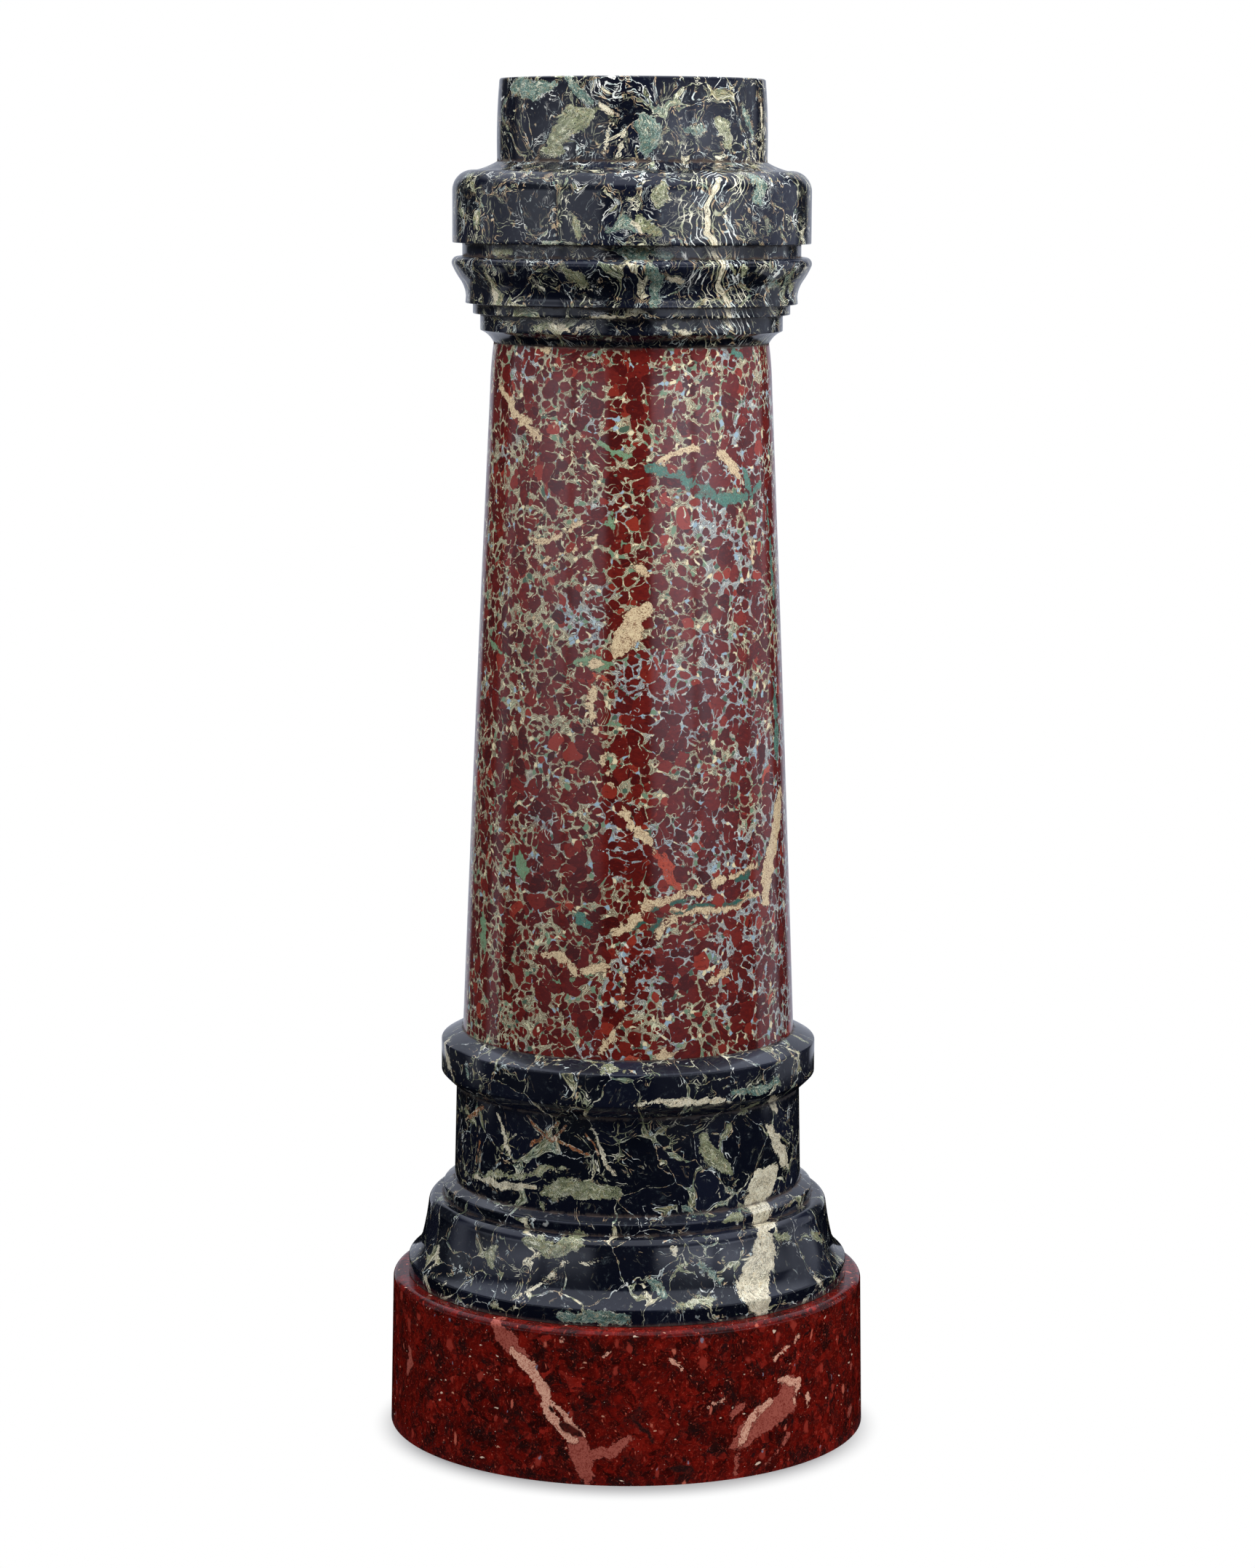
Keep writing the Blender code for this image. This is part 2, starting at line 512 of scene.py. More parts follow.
def new_group(name, numbers, outputs):
    """A node group that takes a vector and some numbers. Returns it, its wiring and its two ends."""
    group = bpy.data.node_groups.new(name, "ShaderNodeTree")
    group.interface.new_socket("Vector", in_out="INPUT", socket_type=VECTOR)
    for label, default in numbers:
        group.interface.new_socket(label, in_out="INPUT", socket_type=NUMBER).default_value = default
    for label in outputs:
        kind = VECTOR if label == "Vector" else NUMBER
        group.interface.new_socket(label, in_out="OUTPUT", socket_type=kind)
    wiring = Wiring(group)
    start = wiring.add("NodeGroupInput")
    end = wiring.add("NodeGroupOutput")
    return group, wiring, start.outputs, end.inputs


def flow_group():
    """Bends a position so that straight patterns look kneaded."""
    group, w, given, out = new_group(
        "Kneading",
        (("Bend", 0.5), ("Bend Size", 4.0), ("Fray", 0.1), ("Fray Size", 0.6)),
        ("Vector",),
    )
    place = given["Vector"]
    for amount, size in (("Bend", "Bend Size"), ("Fray", "Fray Size")):
        scale = w.ratio(1.0, given[size])
        push = w.noise(place, scale, 2.0, 0.55, output="Color")
        push = w.vector("SUBTRACT", push, (0.5, 0.5, 0.5))
        reach = w.times(given[amount], 2.0)
        push = w.vector("SCALE", push, scale=reach)
        place = w.shifted(place, push)
    w.feed(out["Vector"], place)
    return group


def fragments_group():
    """Broken fragments: how far inside its own fragment a point lies in cm, and two random tones."""
    group, w, given, out = new_group(
        "Fragments",
        (("Size", 2.0), ("Round", 0.6)),
        ("Edge", "Inside", "Tone", "Second Tone"),
    )
    scale = w.ratio(1.0, given["Size"])
    edge = w.cells(given["Vector"], scale, "DISTANCE_TO_EDGE").outputs["Distance"]
    cell = w.cells(given["Vector"], scale)
    tones = w.add("ShaderNodeSeparateColor")
    w.feed(tones.inputs[0], cell.outputs["Color"])
    reach = w.span(tones.outputs[2], 0.0, 1.0, 0.75, 1.1)
    reach = w.times(reach, given["Round"])
    rounded = w.minus(reach, cell.outputs["Distance"])
    w.feed(out["Edge"], w.times(edge, given["Size"]))
    inside = w.math("SMOOTH_MIN", edge, rounded, 0.08)
    w.feed(out["Inside"], w.times(inside, given["Size"]))
    w.feed(out["Tone"], tones.outputs[0])
    w.feed(out["Second Tone"], tones.outputs[1])
    return group


def streaks_group():
    """Streaks that follow the edges of the fragments, from 0 to 1."""
    group, w, given, out = new_group("Streaks", (("Level", 0.0), ("Pitch", 0.1), ("Run", 1.5)), ("Value",))
    place = w.vector("SCALE", given["Vector"], scale=w.ratio(1.0, given["Run"]))
    across = w.ratio(given["Level"], given["Pitch"])
    shift = w.add("ShaderNodeCombineXYZ")
    w.feed(shift.inputs[0], across)
    w.feed(shift.inputs[1], w.times(across, 0.6))
    place = w.shifted(place, shift.outputs[0])
    w.feed(out["Value"], w.span(w.noise(place, 1.0, 1.5, 0.5), 0.25, 0.75))
    return group


def threads_group():
    """Thin broken lines that run side by side along the contours of a level, and a tone for each."""
    group, w, given, out = new_group(
        "Threads",
        (("Level", 0.0), ("Pitch", 0.2), ("Width", 0.05), ("Share", 0.6), ("Wander", 0.2)),
        ("Mask", "Tone"),
    )
    wander = w.minus(w.noise(given["Vector"], 1.1, 2.0, 0.5), 0.5)
    level = w.math("MULTIPLY_ADD", wander, given["Wander"], given["Level"])
    level = w.ratio(level, given["Pitch"])
    offset = w.math("ABSOLUTE", w.minus(w.math("FRACT", level), 0.5))
    offset = w.times(offset, given["Pitch"])
    index = w.math("FLOOR", level)
    shift = w.add("ShaderNodeCombineXYZ")
    w.feed(shift.inputs[0], w.times(index, 3.7))
    w.feed(shift.inputs[1], w.times(index, 1.9))
    along = w.noise(w.shifted(given["Vector"], shift.outputs[0]), 0.8, 1.0, 0.5)
    thick = w.times(given["Width"], w.span(along, 0.3, 0.7, 0.2, 1.0))
    line = w.step(offset, w.times(thick, 0.65), w.times(thick, 0.35))
    share = w.minus(0.86, w.times(given["Share"], 0.72))
    kept = w.step(along, share, w.plus(share, 0.05))
    w.feed(out["Mask"], w.times(line, kept))
    w.feed(out["Tone"], w.math("FRACT", w.times(index, 0.618)))
    return group


def flecks_group():
    """Small chips scattered thinly: a mask, and a random tone for each chip."""
    group, w, given, out = new_group(
        "Flecks",
        (("Spacing", 0.8), ("Size", 0.1), ("Share", 0.2)),
        ("Mask", "Tone"),
    )
    scale = w.ratio(1.0, given["Spacing"])
    cell = w.cells(given["Vector"], scale)
    tones = w.add("ShaderNodeSeparateColor")
    w.feed(tones.inputs[0], cell.outputs["Color"])
    distance = w.times(cell.outputs["Distance"], given["Spacing"])
    size = w.times(given["Size"], w.span(tones.outputs[2], 0.0, 1.0, 0.4, 1.3))
    near = w.step(distance, w.times(size, 1.25), w.times(size, 0.75))
    kept = w.math("LESS_THAN", tones.outputs[0], given["Share"])
    w.feed(out["Mask"], w.times(near, kept))
    w.feed(out["Tone"], tones.outputs[1])
    return group


def laid_vein_group():
    """Turns the distance to a laid vein's edge into a mask with a torn edge, and one for its rim."""
    group, w, given, out = new_group(
        "Laid Vein",
        (("Distance", 10.0), ("Tear", 1.0), ("Push", 0.0)),
        ("Mask", "Rim", "Distance"),
    )
    coarse = w.minus(w.noise(given["Vector"], 0.9, 4.0, 0.72), 0.5)
    fine = w.minus(w.noise(given["Vector"], 5.0, 2.0, 0.6), 0.5)
    torn = w.math("MULTIPLY_ADD", fine, 0.35, coarse)
    torn = w.times(torn, w.times(given["Tear"], 10.0))
    distance = w.plus(w.plus(given["Distance"], torn), given["Push"])
    w.feed(out["Mask"], w.step(distance, 0.2, -0.2))
    rim = w.math("ABSOLUTE", w.minus(distance, 0.4))
    w.feed(out["Rim"], w.step(rim, 0.8, 0.3))
    w.feed(out["Distance"], distance)
    return group


def polish_group():
    """Roughness and fine relief of a waxed surface, duller where grime lies in the crevices."""
    group, w, given, out = new_group(
        "Polish",
        (("Roughness", 0.1), ("Dirt", 0.0), ("Pits", 0.0)),
        ("Roughness", "Height"),
    )
    smear = w.noise(given["Vector"], 0.35, 3.0, 0.6)
    rough = w.plus(given["Roughness"], w.span(smear, 0.35, 0.75, 0.0, 0.05))
    rough = w.plus(rough, w.times(given["Dirt"], 0.45))
    w.feed(out["Roughness"], rough)
    wave = w.noise(given["Vector"], 0.25, 2.0, 0.5)
    grain = w.noise(given["Vector"], 14.0, 2.0, 0.6)
    relief = w.plus(w.times(wave, 0.55), w.times(grain, 0.012))
    relief = w.minus(relief, w.times(given["Pits"], 0.06))
    w.feed(out["Height"], w.plus(relief, w.times(given["Dirt"], 0.1)))
    return group


def dirt_and_shade_group():
    """Uneven brown along the crevices: partly grime, partly painted shade of the inner corners."""
    group, w, given, out = new_group("Dirt", (), ("Mask",))
    crevice = w.attribute("crevice")
    uneven = w.noise(given["Vector"], 0.9, 4.0, 0.65)
    amount = w.times(crevice, w.span(uneven, 0.3, 0.7, 0.25, 1.6))
    w.feed(out["Mask"], w.step(amount, 0.35, 0.95))
    return group


GROUP_MAKERS = {
    "kneading": flow_group,
    "fragments": fragments_group,
    "streaks": streaks_group,
    "threads": threads_group,
    "flecks": flecks_group,
    "laid vein": laid_vein_group,
    "polish": polish_group,
    "dirt": dirt_and_shade_group,
}
GROUPS = {}


def shared(name):
    if name not in GROUPS:
        GROUPS[name] = GROUP_MAKERS[name]()
    return GROUPS[name]


def new_stone(name):
    """An empty material with its wiring, its shader and the position in centimetres."""
    material = bpy.data.materials.new(name)
    material.use_nodes = True
    tree = material.node_tree
    tree.nodes.clear()
    w = Wiring(tree)
    output = w.add("ShaderNodeOutputMaterial")
    shader = w.add("ShaderNodeBsdfPrincipled")
    tree.links.new(shader.outputs[0], output.inputs[0])
    position = w.add("ShaderNodeTexCoord").outputs["Object"]
    return material, w, shader, w.vector("SCALE", position, scale=CM_PER_M)


def finish_stone(w, shader, place, colour, pits):
    """Adds brown in the crevices, partly grime and partly painted shade, then polish and relief, which all the
    stones share.
    """
    dirt = w.use("dirt", vector=place)["Mask"]
    # Painted shade with grime: the crevices are darkened brown
    colour = w.blend(w.times(dirt, 0.7), colour, shade(58, 46, 38))
    polish = w.use(
        "polish", vector=place, roughness=bpy.context.scene.stone_finish.polish, dirt=dirt, pits=pits
    )
    bump = w.add("ShaderNodeBump")
    bump.inputs["Strength"].default_value = 0.35
    bump.inputs["Distance"].default_value = 0.3 * MM
    w.feed(bump.inputs["Height"], polish["Height"])
    w.feed(shader.inputs["Base Color"], colour)
    w.feed(shader.inputs["Roughness"], polish["Roughness"])
    w.feed(shader.inputs["Normal"], bump.outputs[0])
    shader.inputs["IOR"].default_value = 1.5


def laid(w, place, attribute, tear=1.0, push=0.0):
    return w.use("laid vein", vector=place, distance=w.attribute(attribute), tear=tear, push=push)


def red_breccia():
    material, w, shader, place = new_stone("red breccia scagliola")
    size = bpy.context.scene.stone_finish.shaft_fragment
    bent = w.use("kneading", vector=place, bend=0.8, bend_size=3.4, fray=0.17, fray_size=0.55)[0]
    coarse = w.use("fragments", vector=bent, size=size, round=0.62)
    middle = w.use(
        "fragments", vector=w.shifted(bent, (31.0, 17.0, 9.0)), size=size * 0.56, round=0.66
    )
    small = w.use("fragments", vector=w.shifted(bent, (7.0, 29.0, 3.0)), size=size * 0.3, round=0.64)

    crowd = w.noise(w.shifted(place, (2.0, 8.0, 14.0)), 0.22, 2.0, 0.55)
    gap = w.span(crowd, 0.32, 0.64, 0.02, 0.15)
    whole = w.math("LESS_THAN", coarse["Second Tone"], w.span(crowd, 0.36, 0.66, 0.95, 0.4))
    coarse_in = w.minus(coarse["Inside"], gap)
    coarse_in = w.mix_number(whole, -0.3, coarse_in)
    middle_in = w.minus(middle["Inside"], w.times(gap, 0.7))
    small_kept = w.math("GREATER_THAN", small["Second Tone"], 0.25)
    small_in = w.mix_number(small_kept, -0.1, w.minus(small["Inside"], 0.025))
    outside = w.math("MAXIMUM", coarse_in, w.minus(middle_in, 0.02))

    streak = w.use("streaks", vector=bent, level=outside, pitch=0.05, run=0.5)[0]
    paste = w.ramp(streak, (
        (0.0, 78, 24, 21), (0.2, 92, 46, 38), (0.32, 90, 98, 78), (0.4, 136, 138, 112),
        (0.48, 86, 84, 68), (0.6, 102, 34, 27), (0.74, 112, 118, 96), (0.84, 102, 60, 48),
        (1.0, 178, 168, 136),
    ))
    blue_paste = w.ramp(streak, (
        (0.0, 78, 28, 26), (0.2, 88, 92, 98), (0.32, 124, 144, 152), (0.45, 92, 60, 56),
        (0.58, 98, 120, 124), (0.7, 92, 36, 32), (0.84, 138, 154, 154), (1.0, 88, 98, 104),
    ))
    # Bluish grey paste lies in patches of its own, and grows towards +x, the side the brighter soft boxes light:
    # there it is partly painted sheen
    region = w.noise(w.shifted(place, (5.0, 3.0, 11.0)), 0.15, 2.5, 0.55)
    side = w.add("ShaderNodeSeparateXYZ")
    w.feed(side.inputs[0], place)
    bluish_paste_and_sheen = w.plus(region, w.times(side.outputs[0], 0.008))
    bluish_paste_and_sheen = w.step(bluish_paste_and_sheen, 0.5, 0.6, 0.0, 0.85)
    paste = w.blend(bluish_paste_and_sheen, paste, blue_paste)
    thread = w.use("threads", vector=bent, level=outside, pitch=0.07, width=0.034, share=0.7, wander=0.6)
    thread_colour = w.blend(
        bluish_paste_and_sheen, w.ramp(thread["Tone"], (
            (0.0, 214, 204, 168), (0.35, 160, 172, 140), (0.65, 224, 212, 178), (0.9, 124, 148, 126),
        )), w.ramp(thread["Tone"], (
            (0.0, 194, 202, 196), (0.4, 148, 166, 172), (0.7, 220, 214, 192), (0.9, 126, 148, 146),
        ))
    )
    paste = w.blend(w.times(thread["Mask"], 0.85), paste, thread_colour)

    red = (
        (0.0, 50, 12, 12), (0.3, 68, 15, 13), (0.55, 84, 21, 17), (0.75, 62, 18, 18), (0.92, 96, 28, 21),
        (1.0, 122, 42, 30),
    )
    brush = w.noise(w.vector("MULTIPLY", bent, (1.0, 1.0, 1.8)), 2.2, 4.0, 0.7)
    flecks = w.use("flecks", vector=bent, spacing=0.32, size=0.035, share=0.3)
    fleck_colour = w.ramp(flecks["Tone"], (
        (0.0, 200, 178, 150), (0.3, 110, 120, 134), (0.6, 140, 60, 44), (0.8, 36, 12, 12),
    ), "CONSTANT")
    crumb = w.ramp(small["Tone"], (
        (0.0, 66, 16, 15), (0.24, 86, 24, 20), (0.46, 104, 34, 26), (0.6, 92, 114, 90),
        (0.72, 124, 144, 154), (0.82, 188, 176, 142), (0.9, 60, 78, 64),
    ), "CONSTANT")
    colour = paste
    for piece, inside in ((small, small_in), (middle, middle_in), (coarse, coarse_in)):
        body = crumb if piece is small else w.ramp(piece["Tone"], red)
        rim = w.step(inside, -0.03, -0.005)
        colour = w.blend(w.times(rim, 0.35), colour, shade(44, 20, 18))
        colour = w.blend(w.step(inside, -0.012, 0.008), colour, body)
    stone = w.step(w.math("MAXIMUM", coarse_in, middle_in), -0.01, 0.01)
    colour = w.blend(w.times(stone, w.step(brush, 0.5, 0.7, 0.0, 0.5)), colour, shade(106, 30, 22))
    colour = w.blend(w.times(stone, w.step(brush, 0.48, 0.32, 0.0, 0.6)), colour, shade(50, 13, 14))
    colour = w.blend(w.times(flecks["Mask"], 0.7), colour, fleck_colour)
    crack = w.use(
        "threads", vector=w.shifted(bent, (3.0, 1.0, 8.0)), level=w.noise(bent, 0.35, 2.0, 0.5),
        pitch=0.06, width=0.006, share=0.3, wander=0.05,
    )
    colour = w.blend(w.times(crack["Mask"], 0.6), colour, thread_colour)

    wisp = w.use(
        "threads", vector=bent, level=w.noise(w.shifted(bent, (9.0, 4.0, 2.0)), 0.22, 2.0, 0.5),
        pitch=0.035, width=0.009, share=0.34, wander=0.03,
    )
    wisp_kept = w.times(wisp["Mask"], w.step(crowd, 0.44, 0.56, 0.0, 0.8))
    colour = w.blend(wisp_kept, colour, thread_colour)

    grain = w.noise(bent, 9.0, 3.0, 0.6)
    push = w.span(outside, 0.0, 0.35, -0.8, 3.2)
    for attribute, tint, speck, tear in (
        ("sage", shade(88, 118, 90), shade(116, 140, 108), 1.5),
        ("teal", shade(52, 90, 80), shade(82, 122, 108), 1.5),
        ("orange", shade(150, 62, 44), shade(122, 44, 32), 1.0),
        ("cream", shade(188, 170, 136), shade(138, 110, 82), 1.6),
        ("dark_teal", shade(40, 80, 70), shade(30, 58, 52), 0.5),
    ):
        vein = laid(w, bent, attribute, tear, push)
        fill = w.blend(w.step(grain, 0.44, 0.64, 0.0, 0.9), tint, speck)
        fill = w.blend(w.step(streak, 0.6, 0.8, 0.0, 0.6), fill, shade(84, 48, 38))
        colour = w.blend(w.times(vein["Rim"], 0.6), colour, shade(58, 30, 24))
        filled = w.times(vein["Mask"], w.step(grain, 0.64, 0.58, 0.3, 1.0))
        colour = w.blend(filled, colour, fill)
    finish_stone(w, shader, place, colour, flecks["Mask"])
    return material


def black_marble(name, veining, threading, mistiness):
    """Black scagliola with more or less green and cream paste, thin threads and pale mist."""
    material, w, shader, place = new_stone(name)
    size = bpy.context.scene.stone_finish.marble_fragment
    swept = w.use("kneading", vector=place, bend=2.0, bend_size=7.0, fray=0.55, fray_size=2.2)[0]
    bent = w.use("kneading", vector=swept, bend=0.1, bend_size=0.6, fray=0.04, fray_size=0.2)[0]
    coarse = w.use("fragments", vector=bent, size=size, round=1.05)
    fine = w.use("fragments", vector=w.shifted(bent, (13.0, 41.0, 5.0)), size=size * 0.4, round=1.0)

    pool = w.noise(swept, 0.42, 2.5, 0.6)
    broken = w.step(w.noise(w.shifted(place, (7.0, 2.0, 3.0)), 0.2, 2.0, 0.5), 0.48, 0.58)
    reach = w.span(pool, 0.45, 0.76, veining - 0.11, veining + 0.36)
    coarse_in = w.minus(coarse["Inside"], reach)
    fine_in = w.minus(fine["Inside"], w.math("MULTIPLY_ADD", broken, 0.4, -0.4))
    fine_in = w.minus(fine_in, w.times(reach, 0.35))
    level = w.math("MINIMUM", coarse_in, fine_in)

    parts = w.add("ShaderNodeSeparateXYZ")
    w.feed(parts.inputs[0], place)
    above_the_band = w.step(parts.outputs[2], 111.4, 113.0, 0.0, 30.0)
    masks = {}
    for attribute, tear, push in (
        ("olive", 1.7, 0.0), ("green", 1.7, 0.0), ("cream", 1.3, 0.0), ("stripe", 0.15, above_the_band),
        ("rust", 0.35, 0.0),
    ):
        masks[attribute] = laid(w, bent, attribute, tear, push)
        distance = w.times(masks[attribute]["Distance"], 0.1)
        level = w.math("MINIMUM", level, distance)
    pasty = w.step(level, 0.012, -0.012)

    streak = w.use("streaks", vector=bent, level=level, pitch=0.09, run=0.8)[0]
    hue = w.noise(w.shifted(place, (1.0, 19.0, 3.0)), 0.22, 2.5, 0.6)
    tint = w.ramp(hue, (
        (0.36, 196, 188, 160), (0.42, 130, 126, 94), (0.47, 108, 112, 84), (0.53, 120, 130, 106),
        (0.58, 84, 108, 98), (0.64, 196, 192, 168),
    ))
    for attribute, colour in (
        ("olive", shade(122, 126, 94)),
        ("green", shade(84, 112, 104)),
        ("cream", shade(198, 188, 162)),
        ("stripe", shade(206, 196, 168)),
        ("rust", shade(132, 78, 46)),
    ):
        tint = w.blend(masks[attribute]["Mask"], tint, colour)
    fill = w.blend(w.step(streak, 0.54, 0.78, 0.0, 0.75), tint, shade(202, 200, 178))
    fill = w.blend(w.step(streak, 0.46, 0.28, 0.0, 0.6), fill, shade(52, 60, 46))
    veil = w.noise(bent, 3.0, 4.0, 0.7)
    fill = w.blend(w.step(veil, 0.52, 0.66, 0.0, 0.4), fill, shade(176, 150, 104))
    lines = w.use("threads", vector=bent, level=level, pitch=0.12, width=0.06, share=0.7, wander=0.9)
    dark = shade(22, 25, 30)
    plain = w.math("MAXIMUM", masks["cream"]["Mask"], masks["stripe"]["Mask"])
    fill = w.blend(w.times(lines["Mask"], w.mix_number(plain, 0.9, 0.6)), fill, dark)
    grain = w.noise(bent, 7.0, 3.0, 0.65)
    fill = w.blend(w.step(grain, 0.58, 0.66, 0.0, 0.85), fill, dark)

    black = w.ramp(coarse["Tone"], (
        (0.0, 5, 7, 14), (0.6, 9, 11, 21), (1.0, 15, 18, 30),
    ))
    mist = w.noise(bent, 1.6, 6.0, 0.78)
    black = w.blend(w.step(mist, 0.54, 0.76, 0.0, mistiness), black, shade(104, 116, 118))

    hair_colour = w.ramp(w.noise(place, 0.5, 2.0, 0.5), (
        (0.34, 204, 200, 178), (0.45, 134, 138, 110), (0.51, 180, 152, 118), (0.55, 164, 178, 174),
        (0.64, 214, 214, 206),
    ))
    halo = w.step(level, 0.2 + threading, 0.05)
    near = w.use("threads", vector=bent, level=level, pitch=0.12, width=0.055, share=threading, wander=0.7)
    colour = w.blend(w.times(near["Mask"], w.times(halo, 0.85)), black, hair_colour)
    agate_level = w.times(masks["stripe"]["Distance"], 0.1)
    agate = w.use("threads", vector=swept, level=agate_level, pitch=0.5, width=0.12, share=0.7, wander=0.4)
    agate_zone = w.step(agate_level, 2.9, 1.7, 0.0, 0.9)
    colour = w.blend(w.times(agate["Mask"], agate_zone), colour, hair_colour)
    stream = w.use(
        "threads", vector=bent, level=w.noise(swept, 0.28, 1.5, 0.5),
        pitch=0.03, width=0.011, share=threading - 0.14, wander=0.015,
    )
    wild = w.step(w.noise(w.shifted(place, (3.0, 3.0, 23.0)), 0.26, 2.0, 0.5), 0.5, 0.57)
    colour = w.blend(w.times(stream["Mask"], w.times(wild, 0.85)), colour, hair_colour)
    crack = w.step(coarse["Edge"], w.span(veil, 0.4, 0.6, 0.0, 0.05), 0.0)
    colour = w.blend(w.times(crack, 0.8), colour, hair_colour)
    colour = w.blend(pasty, colour, fill)
    finish_stone(w, shader, place, colour, w.step(grain, 0.7, 0.8))
    return material


def red_marble():
    material, w, shader, place = new_stone("deep red scagliola")
    size = bpy.context.scene.stone_finish.plinth_fragment
    bent = w.use("kneading", vector=place, bend=0.7, bend_size=2.4, fray=0.22, fray_size=0.5)[0]
    chunk = w.use("fragments", vector=bent, size=size, round=0.8)
    crumb = w.use("fragments", vector=w.shifted(bent, (3.0, 9.0, 27.0)), size=size * 0.42, round=0.8)
    tone = w.mix_number(0.45, chunk["Tone"], crumb["Tone"])
    colour = w.ramp(tone, (
        (0.12, 36, 5, 4), (0.35, 66, 8, 5), (0.55, 90, 12, 7), (0.75, 46, 7, 6), (0.95, 122, 28, 20),
    ))
    mottle = w.noise(bent, 0.5, 6.0, 0.74)
    colour = w.blend(w.step(mottle, 0.5, 0.62, 0.0, 0.9), colour, shade(26, 11, 10))
    colour = w.blend(w.step(mottle, 0.47, 0.34, 0.0, 0.7), colour, shade(116, 20, 12))
    dust = w.noise(bent, 5.0, 4.0, 0.75)
    colour = w.blend(w.step(dust, 0.54, 0.7, 0.0, 0.75), colour, shade(146, 54, 40))
    colour = w.blend(w.step(dust, 0.45, 0.3, 0.0, 0.8), colour, shade(30, 9, 8))
    seam = w.step(crumb["Edge"], 0.035, 0.0)
    seam = w.times(seam, w.step(mottle, 0.4, 0.6))
    colour = w.blend(w.times(seam, 0.6), colour, shade(32, 18, 18))

    for spacing, chip, share, stretch, light in (
        (0.34, 0.05, 0.3, (1.0, 1.0, 0.4), shade(164, 80, 62)),
        (0.42, 0.055, 0.18, (0.4, 0.4, 1.0), shade(180, 128, 104)),
        (1.3, 0.3, 0.36, (1.0, 1.0, 0.6), shade(132, 44, 34)),
        (1.0, 0.2, 0.2, (1.0, 1.0, 0.4), shade(172, 88, 70)),
        (0.6, 0.08, 0.18, (0.5, 0.5, 1.0), shade(208, 184, 160)),
        (0.7, 0.13, 0.34, (0.8, 0.8, 1.0), shade(26, 14, 15)),
        (0.3, 0.02, 0.3, (1.0, 1.0, 1.0), shade(214, 204, 198)),
        (1.3, 0.12, 0.25, (1.0, 1.0, 0.5), shade(112, 108, 122)),
    ):
        source = w.vector("MULTIPLY", w.shifted(bent, (spacing * 37.0, spacing * 11.0, 0.0)), stretch)
        flecks = w.use("flecks", vector=source, spacing=spacing, size=chip, share=share)
        colour = w.blend(w.times(flecks["Mask"], 0.85), colour, light)

    grain = w.noise(bent, 7.0, 4.0, 0.65)
    for attribute, tint, speck, tear in (
        ("salmon", shade(146, 76, 64), shade(110, 42, 34), 1.5),
        ("cream", shade(200, 152, 128), shade(150, 84, 68), 1.3),
        ("dark", shade(30, 14, 14), shade(50, 22, 18), 0.5),
    ):
        vein = laid(w, bent, attribute, tear)
        fill = w.blend(w.step(grain, 0.47, 0.62), tint, speck)
        fill = w.blend(w.step(mottle, 0.5, 0.62, 0.0, 0.35), fill, shade(104, 34, 26))
        colour = w.blend(w.times(vein["Rim"], 0.5), colour, shade(52, 20, 18))
        colour = w.blend(vein["Mask"], colour, fill)
    finish_stone(w, shader, place, colour, seam)
    shader.inputs["Specular IOR Level"].default_value = 0.2
    return material


